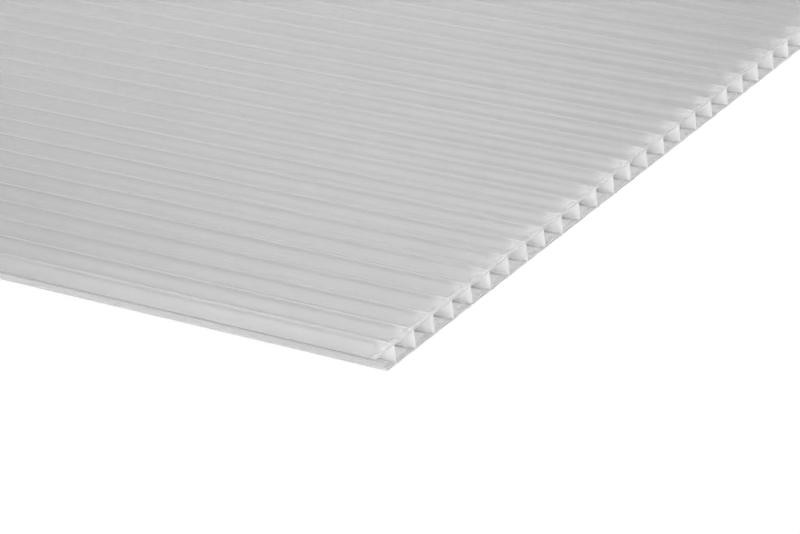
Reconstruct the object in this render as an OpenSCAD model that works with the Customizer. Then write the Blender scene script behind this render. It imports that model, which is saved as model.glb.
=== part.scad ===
// Twin-wall polycarbonate sheet: two thin skins joined by upright ribs, extruded as one piece.
// X runs across the flutes, Y along them, Z up through the thickness.
// The origin is the middle of the sheet's underside.

/* [Sheet] */
// Length of the sheet, along its flutes
sheet_length = 610; // [100:1:3000]
// Width of the sheet, across its flutes
sheet_width = 457; // [60:1:1200]
// Thickness over both skins
sheet_thickness = 4; // [3:0.1:12]

/* [Walls] */
// Thickness of each skin
skin_wall = 0.26; // [0.2:0.01:0.8]
// Thickness of each upright rib
rib_wall = 0.22; // [0.15:0.01:0.8]
// Spacing of the ribs, centre to centre
rib_pitch = 5.8; // [4:0.1:12]
// Radius of the fillet where a rib runs into a skin
root_radius = 0.35; // [0.1:0.05:0.8]

/* [Cut edges] */
// How far the top skin runs past the first rib, on the side cut with a tilted blade
top_flange = 5.7; // [2:0.1:5.7]
// How far the bottom skin runs past the first rib on that side
bottom_flange = 2.7; // [1:0.1:5.7]
// Least that the skins run past the last rib, on the side cut square
least_flange = 1; // [0.5:0.1:3]

/* [Hidden] */

// Sides of a full turn of the fillets
arc_sides = 16;
// How far a cutting shape stands past what it cuts
past = 1;

left = -sheet_width / 2;
right = sheet_width / 2;
first_rib = left + top_flange;
rib_count = floor((right - least_flange - rib_wall / 2 - first_rib) / rib_pitch) + 1;
last_rib = first_rib + (rib_count - 1) * rib_pitch;

// Middle of rib number i, counted from the side cut with a tilted blade
function rib_x(i) = first_rib + i * rib_pitch;

// The sheet's outline seen along the flutes, with the bevel of the tilted cut
module outline() {
    polygon([
        [left, sheet_thickness],
        [first_rib - bottom_flange, 0],
        [right, 0],
        [right, sheet_thickness]
    ]);
}

// One flute from x0 to x1, as high as the skins leave it, with filleted corners
module flute(x0, x1) {
    low = skin_wall;
    high = sheet_thickness - skin_wall;
    translate([x0 + root_radius, low]) square([x1 - x0 - 2 * root_radius, high - low]);
    translate([x0, low + root_radius]) square([x1 - x0, high - low - 2 * root_radius]);
    for (x = [x0 + root_radius, x1 - root_radius], z = [low + root_radius, high - root_radius])
        translate([x, z]) circle(r = root_radius, $fn = arc_sides);
}

// The cross-section: the outline less every flute, with the outer two flutes open at the side
module section() {
    half_rib = rib_wall / 2;
    difference() {
        outline();
        flute(left - past - root_radius, first_rib - half_rib);
        for (i = [0 : rib_count - 2])
            flute(rib_x(i) + half_rib, rib_x(i + 1) - half_rib);
        flute(last_rib + half_rib, right + past + root_radius);
    }
}

// The whole sheet, cut off square at both ends so that every flute is open there
module sheet() {
    color([0.85, 0.87, 0.87, 0.55])
        translate([0, sheet_length / 2, 0])
            rotate([90, 0, 0])
                linear_extrude(height = sheet_length)
                    section();
}

sheet();
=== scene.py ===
import math
import random

import bpy
from mathutils import Matrix, Vector


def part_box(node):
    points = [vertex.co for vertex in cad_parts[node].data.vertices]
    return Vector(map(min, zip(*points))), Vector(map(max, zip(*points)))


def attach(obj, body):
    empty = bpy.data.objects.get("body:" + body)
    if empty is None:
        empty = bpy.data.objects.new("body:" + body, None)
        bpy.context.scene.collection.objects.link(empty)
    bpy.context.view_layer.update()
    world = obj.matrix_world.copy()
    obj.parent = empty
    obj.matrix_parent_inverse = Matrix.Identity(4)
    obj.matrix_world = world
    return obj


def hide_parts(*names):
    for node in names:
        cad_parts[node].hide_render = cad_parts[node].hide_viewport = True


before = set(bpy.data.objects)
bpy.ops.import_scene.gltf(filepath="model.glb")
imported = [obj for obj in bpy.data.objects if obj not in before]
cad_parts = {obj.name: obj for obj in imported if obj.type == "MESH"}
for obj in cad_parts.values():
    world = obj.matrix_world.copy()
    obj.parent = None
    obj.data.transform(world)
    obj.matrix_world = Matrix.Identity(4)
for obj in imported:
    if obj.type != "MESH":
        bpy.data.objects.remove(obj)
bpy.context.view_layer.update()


# Twin-wall sheet is clear polycarbonate, pushed hot through one die, so that its two thin skins and the
# upright ribs between them are one piece. Skins and ribs swell gently where they run into each other,
# and the skins sag a little between the ribs while they cool. Both ends are sawn off square.
low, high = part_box("sheet")
skin_wall = 0.00026
rib_wall = 0.00022
rib_pitch = 0.0058
top_flange = 0.0057
bottom_flange = 0.0027
least_flange = 0.001
skin_reach = 0.0009
top_swell = 0.000025
bottom_swell = 0.00003
rib_reach = 0.0004
rib_swell = 0.00003
swell_places = [0, 0.15, 0.35, 0.6, 1]
skin_sag = 0.0001
sink_half = 0.00035
top_sink = 0.00001
bottom_sink = 0.00009
least_plenty = 0.4
most_plenty = 1.6
rib_wander = 0.00006
wander_seed = 4
span_steps = 5
end_steps = [0, 0.0007, 0.004]
ring_gap = 0.05
sharp_angle = math.radians(8)

first_rib = low.x + top_flange
rib_count = int((high.x - least_flange - rib_wall / 2 - first_rib) / rib_pitch) + 1
root_half = rib_wall / 2 + rib_swell
chance = random.Random(wander_seed)
ribs = [first_rib + rib_pitch * k + chance.uniform(-rib_wander, rib_wander) for k in range(rib_count)]
plenty = [chance.uniform(least_plenty, most_plenty) for k in range(rib_count)]


def nearest(x):
    """The number of the nearest rib."""
    return min(max(round((x - first_rib) / rib_pitch), 0), rib_count - 1)


def sag(x):
    """How far a skin hangs in from its own flat face: nothing over a rib, most half way between two."""
    across = min(abs(x - ribs[nearest(x)]) / rib_pitch, 0.5)
    return skin_sag * math.sin(math.pi * across) ** 2


def sink(x, deepest):
    """How deep the shallow groove is that a rib leaves in the outer face as it shrinks."""
    off = min(abs(x - ribs[nearest(x)]) / sink_half, 1)
    return deepest * plenty[nearest(x)] * (1 + math.cos(math.pi * off)) / 2


def swell(clear, reach, most):
    """How much thicker a wall is at a given way off from the wall that it runs into."""
    return most * max(1 - clear / reach, 0) ** 2


def spread(start, end, root_at_start, root_at_end):
    """Places across one flute, close together where the skins swell and even between."""
    first = [start + skin_reach * s for s in swell_places] if root_at_start else [start]
    last = [end - skin_reach * s for s in reversed(swell_places)] if root_at_end else [end]
    gap = (last[0] - first[-1]) / span_steps
    return first + [first[-1] + gap * i for i in range(1, span_steps)] + last


section = []
caps = []
rib_sides = set()


def point(x, z):
    """Adds one point to the section and returns its number."""
    section.append((x, z))
    return len(section) - 1


def cap(*corners):
    """One face of the sawn end, turned so that its front is outwards."""
    area = 0
    for a, b in zip(corners, corners[1:] + corners[:1]):
        area += section[a][0] * section[b][1] - section[b][0] * section[a][1]
    caps.append(corners if area > 0 else corners[::-1])


def skin(start, face, inward, most_swell, most_sink):
    """Lays one skin out across the sheet and returns its two inside corners at every rib."""
    roots = []
    outer_before = inner_before = None
    for number in range(rib_count + 1):
        end = ribs[number] - root_half if number < rib_count else high.x
        for x in spread(start, end, number > 0, number < rib_count):
            from_root = abs(x - ribs[nearest(x)]) - root_half
            swollen = plenty[nearest(x)] * swell(from_root, skin_reach, most_swell)
            outer = point(x, face + inward * (sag(x) + sink(x, most_sink)))
            inner = point(x, face + inward * (sag(x) + skin_wall + swollen))
            if number > 0 and x == start:
                groove = point(start - root_half, face + inward * sink(start - root_half, most_sink))
                cap(outer_before, groove, outer, inner, inner_before)
                roots.append((inner_before, inner))
            elif outer_before is not None:
                cap(outer_before, outer, inner, inner_before)
            outer_before, inner_before = outer, inner
        start = end + 2 * root_half
    return roots


def rib(x, above, below):
    """Lays one rib out from the top skin's two inside corners down to the bottom skin's."""
    top = section[above[0]][1]
    bottom = section[below[0]][1]
    heights = [top - rib_reach * s for s in swell_places[1:]]
    heights += [bottom + rib_reach * s for s in reversed(swell_places[1:])]
    before = above
    for z in heights:
        half = rib_wall / 2 + swell(min(top - z, z - bottom), rib_reach, rib_swell)
        here = (point(x - half, z), point(x + half, z))
        cap(before[0], before[1], here[1], here[0])
        rib_sides.update([(before[0], here[0]), (before[1], here[1])])
        before = here
    cap(before[0], before[1], below[1], below[0])
    rib_sides.update([(before[0], below[0]), (before[1], below[1])])


top_roots = skin(low.x, high.z, -1, top_swell, top_sink)
bottom_roots = skin(first_rib - bottom_flange, low.z, 1, bottom_swell, bottom_sink)
for x, above, below in zip(ribs, top_roots, bottom_roots):
    rib(x, above, below)

# The long walls run from ring to ring along the sheet, one for every edge that only one cap has.
long_walls = {}
for face in caps:
    for a, b in zip(face, face[1:] + face[:1]):
        if (b, a) in long_walls:
            del long_walls[b, a]
        else:
            long_walls[a, b] = True

length = high.y - low.y
middle = length - 2 * end_steps[-1]
middle_rings = round(middle / ring_gap)
rings = [low.y + step for step in end_steps]
rings += [low.y + end_steps[-1] + middle * i / middle_rings for i in range(1, middle_rings)]
rings += [high.y - step for step in reversed(end_steps)]

clear_face, sawn_face, rib_face, trimmed_face = range(4)
verts = [(x, y, z) for y in rings for x, z in section]
count = len(section)
faces = list(caps)
faces += [[i + count * (len(rings) - 1) for i in reversed(face)] for face in caps]
finishes = [sawn_face] * len(faces)
for base in range(0, count * (len(rings) - 1), count):
    for a, b in long_walls:
        if (a, b) in rib_sides or (b, a) in rib_sides:
            finishes.append(rib_face)
        elif section[a][0] == section[b][0] and section[a][0] in (low.x, high.x, first_rib - bottom_flange):
            finishes.append(trimmed_face)
        else:
            finishes.append(clear_face)
        faces.append((b + base, a + base, a + base + count, b + base + count))

mesh = bpy.data.meshes.new("twin_wall_sheet")
mesh.from_pydata(verts, [], faces)
mesh.update()
mesh.shade_smooth()
mesh.set_sharp_from_angle(angle=sharp_angle)
mesh.polygons.foreach_set("material_index", finishes)
sheet = bpy.data.objects.new("twin_wall_sheet", mesh)
bpy.context.scene.collection.objects.link(sheet)


class Wire:
    """A socket in a node tree. Arithmetic on it adds Math nodes, and node() adds any other node."""

    def __init__(self, tree, socket=None):
        self.tree = tree
        self.socket = socket

    def node(self, kind, settings, sockets, output=0):
        made = self.tree.nodes.new(kind)
        for name, value in settings.items():
            setattr(made, name, value)
        for name, value in sockets.items():
            if isinstance(value, Wire):
                self.tree.links.new(value.socket, made.inputs[name])
            else:
                made.inputs[name].default_value = value
        return Wire(self.tree, made.outputs[output]) if made.outputs else None

    def math(self, operation, *values):
        return self.node("ShaderNodeMath", {"operation": operation}, dict(enumerate(values)))

    def __add__(self, other):
        return self.math("ADD", self, other)

    def __sub__(self, other):
        return self.math("SUBTRACT", self, other)

    def __rsub__(self, other):
        return self.math("SUBTRACT", other, self)

    def __mul__(self, other):
        return self.math("MULTIPLY", self, other)

    __radd__ = __add__
    __rmul__ = __mul__


def nodes_of(owner):
    """Empties a material's or the world's node tree and returns a Wire to build it with."""
    owner.use_nodes = True
    owner.node_tree.nodes.clear()
    return Wire(owner.node_tree)


def place_on(start):
    """The place on the object."""
    return start.node("ShaderNodeTexCoord", {}, {}, "Object")


def axis(place, name):
    """One coordinate of a place or a direction."""
    return place.node("ShaderNodeSeparateXYZ", {}, {0: place}, name)


def ramp(value, start, end, first, last, way="LINEAR"):
    """Runs from first to last while the value runs from start to end."""
    return value.node("ShaderNodeMapRange", {"interpolation_type": way}, {
        "Value": value, "From Min": start, "From Max": end, "To Min": first, "To Max": last})


def smooth(value, start, end, first, last):
    """A ramp that starts and ends gently."""
    return ramp(value, start, end, first, last, "SMOOTHSTEP")


def grey(level):
    return (level, level, level, 1)


def matt(start, level):
    """Light scattered back from a matt surface."""
    return start.node("ShaderNodeBsdfDiffuse", {}, {"Color": grey(level)})


def milk(start, back, onward):
    """Light scattered half back and half onward, as a thin milky wall does."""
    through = start.node("ShaderNodeBsdfTranslucent", {}, {"Color": grey(onward)})
    return blend(0.5, matt(start, back), through)


def plastic(start, level, roughness):
    """Clear polycarbonate."""
    return start.node("ShaderNodeBsdfPrincipled", {}, {
        "Base Color": grey(level), "Transmission Weight": 1.0, "IOR": 1.585, "Roughness": roughness})


def blend(share, first, second):
    """The first shader, with the given share of the second."""
    return first.node("ShaderNodeMixShader", {}, {0: share, 1: first, 2: second})


def grain_of(place, scale):
    """Fine uneven grain."""
    return place.node("ShaderNodeTexNoise", {}, {"Vector": place, "Scale": scale, "Detail": 3.0}, "Fac")


def from_corner_of(across, along):
    """How far a place is from the near corner, counted more along the sheet than across it."""
    return (across - low.x) * 0.4 + (along - low.y) * 0.9


def from_cut_of(start, along):
    """How far a place is from the nearer sawn end."""
    return length / 2 - start.math("ABSOLUTE", along - (low.y + high.y) / 2)


# The skins are clear and faintly hazy, more so further off. The saw has whitened their rims, most at the
# near corner. A milky line over each rib is a painted highlight, and painted shade runs on the bottom skin
# along the near side of each rib's foot. The bottom flange is lightened with pale matt grey, painted light,
# more so away from the near end.
clear = bpy.data.materials.new("clear_polycarbonate")
start = nodes_of(clear)
skin_grey = 0.92
frost_back = 0.6
frost_onward = 0.65
rough_near = 0.12
rough_far = 0.24
haze_near = 0.12
haze_far = 0.24
highlight_over_rib = 0.18
highlight_from = 0.0001
highlight_to = 0.0009
grain_scale = 700.0
grain_depth = 0.003
whitened_rim = 0.0018
white_at_corner = 0.6
white_at_cut = 0.36
foot_painted_shade_grey = 0.25
foot_shade = 0.45
foot_off_rib = 0.0006
foot_from = 0.0001
foot_to = 0.0005
foot_under_flange = 0.3
foot_at_cut = 0.2
flange_painted_light_grey = 0.95
flange_light_near = 0.04
flange_light_far = 0.36
outer_face = 0.00022
place = place_on(start)
across = axis(place, "X")
along = axis(place, "Y")
upward = axis(place, "Z")
from_corner = from_corner_of(across, along)
from_cut = from_cut_of(start, along)
milky_share = smooth(from_corner, 0.02, 0.2, haze_near, haze_far)
in_pitch = start.math("PINGPONG", across - first_rib, rib_pitch / 2)
# Over each rib line the milky share rises, a painted highlight along the rib.
milky_share = start.math("MAXIMUM", milky_share, smooth(in_pitch, highlight_from, highlight_to, highlight_over_rib, 0.0))
grain = grain_of(place, grain_scale)
white = smooth(from_corner, 0.004, 0.016, white_at_corner, white_at_cut)
frost_share = smooth(from_cut + grain * grain_depth - grain_depth / 2, 0.0, whitened_rim, white, milky_share)
roughness = smooth(from_corner, 0.03, 0.16, rough_near, rough_far)
shader = blend(frost_share, plastic(start, skin_grey, roughness), milk(start, frost_back, frost_onward))
low_down = ramp(upward, low.z + 0.0006, low.z + 0.001, 1.0, 0.0)
# Painted shade: a dark matt grey along the near side of each rib's foot on the bottom skin, weaker under
# the top flange and near the cut.
before_rib = rib_pitch - start.math("FLOORED_MODULO", across - first_rib, rib_pitch)
off_foot = start.math("ABSOLUTE", before_rib - foot_off_rib)
painted_foot_shade = smooth(off_foot, foot_from, foot_to, foot_shade, 0.0)
in_the_open = ramp(across, first_rib, first_rib + 0.0005, foot_under_flange, 1.0)
deep_in = ramp(from_cut, 0.001, 0.004, foot_at_cut, 1.0)
shader = blend(painted_foot_shade * low_down * in_the_open * deep_in, shader, matt(start, foot_painted_shade_grey))
# Painted light: pale matt grey on the inner face of the bottom flange, little near the near end and more
# away from it.
flange_painted_light = ramp(along, low.y + 0.01, low.y + 0.13, flange_light_near, flange_light_far)
on_flange = ramp(across, first_rib - 0.0013, first_rib - 0.0007, flange_painted_light, 0.0)
inside = start.math("GREATER_THAN", upward, low.z + outer_face)
shader = blend(on_flange * low_down * inside, shader, matt(start, flange_painted_light_grey))
start.node("ShaderNodeOutputMaterial", {}, {"Surface": shader})
mesh.materials.append(clear)

# The saw leaves the ends rough, and torn dull in small patches.
sawn = bpy.data.materials.new("sawn_polycarbonate")
start = nodes_of(sawn)
sawn_grey = 0.76
sawn_rough = 0.5
torn_grey = 0.58
torn_scale = 900.0
least_torn = 0.2
most_torn = 0.7
grain = grain_of(place_on(start), torn_scale)
torn = ramp(grain, 0.4, 0.65, least_torn, most_torn)
shader = blend(torn, plastic(start, sawn_grey, sawn_rough), matt(start, torn_grey))
start.node("ShaderNodeOutputMaterial", {}, {"Surface": shader})
mesh.materials.append(sawn)

# The ribs are milky. They are milkier towards the top and near the sawn ends: painted light, for the light
# from above and the light that comes in at the open ends. The first one is clearer. A painted shade runs
# along each rib's root under the top skin, and fades with the distance.
ribbed = bpy.data.materials.new("thin_rib_polycarbonate")
start = nodes_of(ribbed)
milk_at_foot = 0.48
milk_and_painted_light_at_top = 0.58
milk_of_first = 0.2
painted_light_at_cut = 0.5
fully_lit = 0.0015
lit_length = 0.0048
seen_straight = 0.8
milk_grey = 0.98
rib_rough = 0.2
root_painted_shade_grey = 0.2
root_shade = 0.25
root_down = 0.0008
root_from = 0.0001
root_to = 0.0005
root_at_cut = 0.1
root_far_off = 0.2
place = place_on(start)
across = axis(place, "X")
along = axis(place, "Y")
upward = axis(place, "Z")
from_cut = from_cut_of(start, along)
# Painted light: the milky share rises towards the top of each rib and near the sawn ends.
milk_and_painted_light = ramp(upward, low.z + 0.0004, high.z - 0.0004, milk_at_foot, milk_and_painted_light_at_top)
past_first = ramp(across, first_rib + 0.001, first_rib + 0.002, 0.0, 1.0)
milk_and_painted_light = (milk_and_painted_light - milk_of_first) * past_first + milk_of_first
milk_and_painted_light = milk_and_painted_light + smooth(from_cut, fully_lit, lit_length, painted_light_at_cut, 0.0)
straight = start.node("ShaderNodeBsdfTransparent", {}, {"Color": grey(1)})
shader = blend(seen_straight, plastic(start, 1, rib_rough), straight)
shader = blend(milk_and_painted_light, shader, milk(start, milk_grey, milk_grey))
# Painted shade: dark matt grey in a band on each rib just under the top skin, weak near the cut and fading
# with the distance.
off_root = start.math("ABSOLUTE", upward - (high.z - root_down))
painted_root_shade = smooth(off_root, root_from, root_to, root_shade, 0.0)
deep_in = ramp(from_cut, 0.001, 0.005, root_at_cut, 1.0)
far_off = ramp(from_corner_of(across, along), 0.05, 0.16, 1.0, root_far_off)
shader = blend(painted_root_shade * deep_in * far_off, shader, matt(start, root_painted_shade_grey))
start.node("ShaderNodeOutputMaterial", {}, {"Surface": shader})
mesh.materials.append(ribbed)

# The long edges are cut through the skins. The top skin's cut edge is painted dark, a painted shade, and
# the bottom skin's is pale.
trimmed = bpy.data.materials.new("trimmed_polycarbonate")
start = nodes_of(trimmed)
trimmed_grey = 0.93
pale_grey = 0.8
edge_painted_shade_grey = 0.28
matt_share = 0.75
trimmed_rough = 0.3
# Painted shade: the top skin's cut edge gets a dark matt grey; the bottom skin's gets a pale one.
up_high = ramp(axis(place_on(start), "Z"), low.z + 0.001, low.z + 0.002, 0.0, 1.0)
pale_and_painted_shade = blend(up_high, matt(start, pale_grey), matt(start, edge_painted_shade_grey))
shader = blend(matt_share, plastic(start, trimmed_grey, trimmed_rough), pale_and_painted_shade)
start.node("ShaderNodeOutputMaterial", {}, {"Surface": shader})
mesh.materials.append(trimmed)

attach(sheet, "root")
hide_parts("sheet")


# The floor is one big white sheet of paper. It looks plain white to the camera, in reflections and
# through the clear plastic, and it keeps part of its own shading, for the shadow under the sheet.
floor_half = 30
floor_drop = 0.0002
paper_grey = 0.9
white_to_camera = 0.97
white_in_sheet = 0.63
floor_mesh = bpy.data.meshes.new("floor")
corners = [(-floor_half, -floor_half, 0), (floor_half, -floor_half, 0)]
corners += [(floor_half, floor_half, 0), (-floor_half, floor_half, 0)]
floor_mesh.from_pydata(corners, [], [(0, 1, 2, 3)])
floor = bpy.data.objects.new("floor", floor_mesh)
floor.location.z = low.z - floor_drop
bpy.context.scene.collection.objects.link(floor)
paper = bpy.data.materials.new("white_floor")
start = nodes_of(paper)
straight_on = start.node("ShaderNodeLightPath", {}, {}, "Is Camera Ray") * white_to_camera
reflected = start.node("ShaderNodeLightPath", {}, {}, "Is Glossy Ray") * white_in_sheet
refracted = start.node("ShaderNodeLightPath", {}, {}, "Is Transmission Ray") * white_in_sheet
seen = start.math("MAXIMUM", straight_on, start.math("MAXIMUM", reflected, refracted))
shining = start.node("ShaderNodeEmission", {}, {"Color": grey(1), "Strength": 1.0})
shader = blend(seen, matt(start, paper_grey), shining)
start.node("ShaderNodeOutputMaterial", {}, {"Surface": shader})
floor_mesh.materials.append(paper)


# The room is white to the camera. The sheet is lit by it and reflects it as a grey room with a pale
# ceiling, a paler strip low behind the sheet, a low light on the right, one soft panel that is mirrored
# in the middle of the sheet, and a broad soft key light that shines into the open ends.
room_grey = 0.4
ceiling_extra = 1.6
backdrop_extra = 0.35
right_extra = 0.3
panel_extra = 0.8
key_extra = 0.5
rightward = (0.62, -0.785, 0)
toward_key = (-0.35, -0.84, 0.41)
toward_panel = (0.694, 0.558, 0.454)
panel_edge = math.cos(math.radians(7.6))
panel_core = math.cos(math.radians(3.2))
world = bpy.data.worlds.new("studio")
bpy.context.scene.world = world
start = nodes_of(world)
way = start.node("ShaderNodeTexCoord", {}, {}, "Generated")


def along_way(direction):
    """How nearly a ray goes in the given direction, 1 when it goes exactly there."""
    return start.node("ShaderNodeVectorMath", {"operation": "DOT_PRODUCT"}, {0: way, 1: direction}, "Value")


height = axis(way, "Z")
sideways = along_way(rightward)
ceiling = smooth(height, 0.43, 0.76, 0.0, ceiling_extra)
in_middle = smooth(start.math("ABSOLUTE", sideways + 0.01), 0.03, 0.12, 1.0, 0.0)
backdrop = smooth(height, 0.34, 0.46, backdrop_extra, 0.0) * in_middle
low_light = smooth(height, 0.25, 0.4, right_extra, 0.0) * smooth(sideways, 0.0, 0.07, 0.0, 1.0)
panel = smooth(along_way(toward_panel), panel_edge, panel_core, 0.0, panel_extra)
key = smooth(along_way(toward_key), 0.6, 0.95, 0.0, key_extra)
camera_ray = start.node("ShaderNodeLightPath", {}, {}, "Is Camera Ray")
strength = start.math("MAXIMUM", ceiling + backdrop + panel + key + low_light + room_grey, camera_ray)
room = start.node("ShaderNodeBackground", {}, {"Color": grey(1), "Strength": strength})
start.node("ShaderNodeOutputWorld", {}, {"Surface": room})


# One soft square lamp hangs 3 m over the sheet. It is as wide as it is high up, so that the shadows
# have no hard edge.
lamp = bpy.data.lights.new("soft_lamp", "AREA")
lamp.shape = "SQUARE"
lamp.size = 3
lamp.energy = 62
softbox = bpy.data.objects.new("soft_lamp", lamp)
softbox.location = (0, 0, 3)
bpy.context.scene.collection.objects.link(softbox)


# The camera stands low off the near corner with a long lens, as it did for the photograph. Its place,
# turn and lens were fitted to the cut end, the long edge and the flute lines there.
lens_mm = 166.08
sensor_mm = 36
heading = math.radians(38.31)
dip = math.radians(26.67)
roll = math.radians(-7.24)
stand_off = 0.6476
aim = Vector((first_rib + 4.11 * rib_pitch, low.y + 2.66 * rib_pitch, high.z))
ahead = Vector((math.cos(heading) * math.cos(dip), math.sin(heading) * math.cos(dip), -math.sin(dip)))
lens = bpy.data.cameras.new("camera")
lens.lens = lens_mm
lens.sensor_width = sensor_mm
lens.clip_start = 0.01
camera = bpy.data.objects.new("camera", lens)
bpy.context.scene.collection.objects.link(camera)
turn = ahead.to_track_quat("-Z", "Y").to_matrix().to_4x4() @ Matrix.Rotation(roll, 4, "Z")
camera.matrix_world = Matrix.Translation(aim - ahead * stand_off) @ turn
bpy.context.scene.camera = camera
bpy.context.scene.view_settings.view_transform = "Standard"
